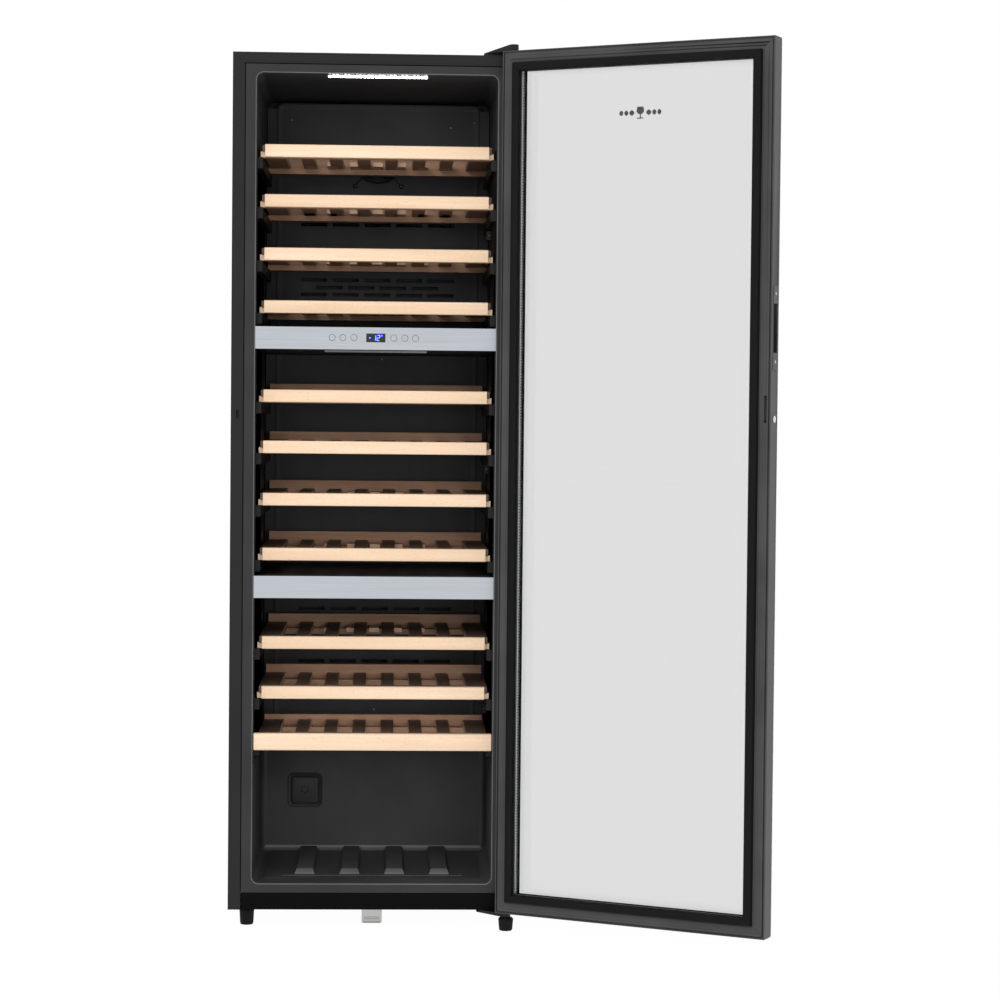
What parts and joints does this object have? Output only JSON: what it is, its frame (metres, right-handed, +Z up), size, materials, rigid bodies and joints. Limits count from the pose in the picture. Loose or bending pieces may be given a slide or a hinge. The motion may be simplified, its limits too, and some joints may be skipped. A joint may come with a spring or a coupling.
{
  "type": "wine cooler",
  "caption": "Tall freestanding wine cooler with a hinged glass door, pull-out slatted wooden shelves and a metal control fascia between its compartments.",
  "frame": {"origin": "on the floor, under the middle of the cabinet's width and depth (the door not counted)", "axes": "+Z up; +X to the right as seen from the front; -Y out of the cabinet's front, the side that the door closes"},
  "size_m": [1.0911, 0.9552, 1.8252],
  "materials": {
    "casing": "satin",
    "lining": "satin",
    "kick_plastic": "satin",
    "foam": "matte",
    "fascia_metal": "satin",
    "display": "gloss",
    "lamp": "satin",
    "fan_plastic": "matte",
    "evaporator_metal": "satin",
    "compressor_paint": "gloss",
    "condenser_metal": "satin",
    "inlet_plastic": "satin",
    "filter_plastic": "satin",
    "hinge_metal": "satin",
    "zinc": "satin",
    "foot_rubber": "matte",
    "beech": "satin",
    "door_frame_black": "satin",
    "door_glass": "gloss",
    "spacer_metal": "satin",
    "gasket_rubber": "matte",
    "handle_plastic": "satin",
    "lock_metal": "polished"
  },
  "bodies": {
    "cabinet": {"outer_shell": "casing", "rear_panel": "casing", "base_pan": "casing", "kick_plate": "kick_plastic", "insulation_foam": "foam", "inner_liner": "lining", "floor_mat": "lining", "shelf_rail_left": "lining", "shelf_rail_right": "lining", "duct_panel_upper": "lining", "duct_panel_middle": "lining", "duct_panel_lower": "lining", "upper_divider": "lining", "lower_divider": "lining", "control_fascia": "fascia_metal", "lower_fascia": "fascia_metal", "display_window": "display", "top_light": "lamp", "middle_light": "lamp", "evaporator_upper": "evaporator_metal", "evaporator_lower": "evaporator_metal", "compressor": "compressor_paint", "condenser": "condenser_metal", "compressor_cover": "casing", "mains_inlet": "inlet_plastic", "hinge_bracket_top": "hinge_metal", "hinge_bracket_bottom": "hinge_metal", "fixing_bracket": "zinc", "lock_keeper": "inlet_plastic"},
    "door": {"door_frame": "door_frame_black", "glass_outer": "door_glass", "glass_inner": "door_glass", "glass_spacer": "spacer_metal", "door_gasket": "gasket_rubber", "handle_insert": "handle_plastic"},
    "lock": {"lock_barrel": "lock_metal"},
    "shelf_01": {"shelf_01": "beech"},
    "shelf_02": {"shelf_02": "beech"},
    "shelf_03": {"shelf_03": "beech"},
    "shelf_04": {"shelf_04": "beech"},
    "shelf_05": {"shelf_05": "beech"},
    "shelf_06": {"shelf_06": "beech"},
    "shelf_07": {"shelf_07": "beech"},
    "shelf_08": {"shelf_08": "beech"},
    "shelf_09": {"shelf_09": "beech"},
    "shelf_10": {"shelf_10": "beech"},
    "shelf_11": {"shelf_11": "beech"},
    "button_power": {"button_power": "fascia_metal"},
    "button_light": {"button_light": "fascia_metal"},
    "button_unit": {"button_unit": "fascia_metal"},
    "button_zone": {"button_zone": "fascia_metal"},
    "button_up": {"button_up": "fascia_metal"},
    "button_down": {"button_down": "fascia_metal"},
    "fan_upper": {"fan_upper": "fan_plastic"},
    "fan_lower": {"fan_lower": "fan_plastic"},
    "carbon_filter": {"carbon_filter": "filter_plastic"},
    "foot_front_left": {"foot_front_left": "foot_rubber"},
    "foot_front_right": {"foot_front_right": "foot_rubber"},
    "foot_rear_left": {"foot_rear_left": "foot_rubber"},
    "foot_rear_right": {"foot_rear_right": "foot_rubber"}
  },
  "joints": [
    {"name": "door_hinge", "type": "hinge", "parent": "cabinet", "child": "door", "pos_m": [0.2785, -0.3475, 0.9], "axis": [0, 0, 1], "range_deg": [-151.62, 0]},
    {"name": "lock_turn", "type": "hinge", "parent": "door", "child": "lock", "pos_m": [0.78402, -0.61833, 1.0624], "axis": [0.8798, -0.4753, 0], "range_deg": [0, 90]},
    {"name": "shelf_01_slide", "type": "slide", "parent": "cabinet", "child": "shelf_01", "axis": [0, -1, 0], "range_m": [0, 0.26]},
    {"name": "shelf_02_slide", "type": "slide", "parent": "cabinet", "child": "shelf_02", "axis": [0, -1, 0], "range_m": [0, 0.26]},
    {"name": "shelf_03_slide", "type": "slide", "parent": "cabinet", "child": "shelf_03", "axis": [0, -1, 0], "range_m": [0, 0.26]},
    {"name": "shelf_04_slide", "type": "slide", "parent": "cabinet", "child": "shelf_04", "axis": [0, -1, 0], "range_m": [0, 0.26]},
    {"name": "shelf_05_slide", "type": "slide", "parent": "cabinet", "child": "shelf_05", "axis": [0, -1, 0], "range_m": [0, 0.26]},
    {"name": "shelf_06_slide", "type": "slide", "parent": "cabinet", "child": "shelf_06", "axis": [0, -1, 0], "range_m": [0, 0.26]},
    {"name": "shelf_07_slide", "type": "slide", "parent": "cabinet", "child": "shelf_07", "axis": [0, -1, 0], "range_m": [0, 0.26]},
    {"name": "shelf_08_slide", "type": "slide", "parent": "cabinet", "child": "shelf_08", "axis": [0, -1, 0], "range_m": [0, 0.26]},
    {"name": "shelf_09_slide", "type": "slide", "parent": "cabinet", "child": "shelf_09", "axis": [0, -1, 0], "range_m": [0, 0.26]},
    {"name": "shelf_10_slide", "type": "slide", "parent": "cabinet", "child": "shelf_10", "axis": [0, -1, 0], "range_m": [0, 0.26]},
    {"name": "shelf_11_slide", "type": "slide", "parent": "cabinet", "child": "shelf_11", "axis": [0, -1, 0], "range_m": [0, 0.26]},
    {"name": "button_power_press", "type": "slide", "parent": "cabinet", "child": "button_power", "axis": [0, 1, 0], "range_m": [0, 0.0008], "stiffness_N_per_m": 900},
    {"name": "button_light_press", "type": "slide", "parent": "cabinet", "child": "button_light", "axis": [0, 1, 0], "range_m": [0, 0.0008], "stiffness_N_per_m": 900},
    {"name": "button_unit_press", "type": "slide", "parent": "cabinet", "child": "button_unit", "axis": [0, 1, 0], "range_m": [0, 0.0008], "stiffness_N_per_m": 900},
    {"name": "button_zone_press", "type": "slide", "parent": "cabinet", "child": "button_zone", "axis": [0, 1, 0], "range_m": [0, 0.0008], "stiffness_N_per_m": 900},
    {"name": "button_up_press", "type": "slide", "parent": "cabinet", "child": "button_up", "axis": [0, 1, 0], "range_m": [0, 0.0008], "stiffness_N_per_m": 900},
    {"name": "button_down_press", "type": "slide", "parent": "cabinet", "child": "button_down", "axis": [0, 1, 0], "range_m": [0, 0.0008], "stiffness_N_per_m": 900},
    {"name": "fan_upper_spin", "type": "hinge", "parent": "cabinet", "child": "fan_upper", "pos_m": [0, 0.1945, 1.649], "axis": [0, 1, 0], "continuous": true},
    {"name": "fan_lower_spin", "type": "hinge", "parent": "cabinet", "child": "fan_lower", "pos_m": [0, 0.1945, 0.5685], "axis": [0, 1, 0], "continuous": true},
    {"name": "carbon_filter_pull", "type": "slide", "parent": "cabinet", "child": "carbon_filter", "axis": [0, -1, 0], "range_m": [0, 0.05]},
    {"name": "foot_front_left_screw", "type": "hinge", "parent": "cabinet", "child": "foot_front_left", "pos_m": [-0.2595, -0.2825, 0.01], "axis": [0, 0, 1], "continuous": true},
    {"name": "foot_front_right_screw", "type": "hinge", "parent": "cabinet", "child": "foot_front_right", "pos_m": [0.2785, -0.3475, 0.01], "axis": [0, 0, 1], "continuous": true},
    {"name": "foot_rear_left_screw", "type": "hinge", "parent": "cabinet", "child": "foot_rear_left", "pos_m": [-0.25, 0.2625, 0.01], "axis": [0, 0, 1], "continuous": true},
    {"name": "foot_rear_right_screw", "type": "hinge", "parent": "cabinet", "child": "foot_rear_right", "pos_m": [0.25, 0.2625, 0.01], "axis": [0, 0, 1], "continuous": true}
  ]
}
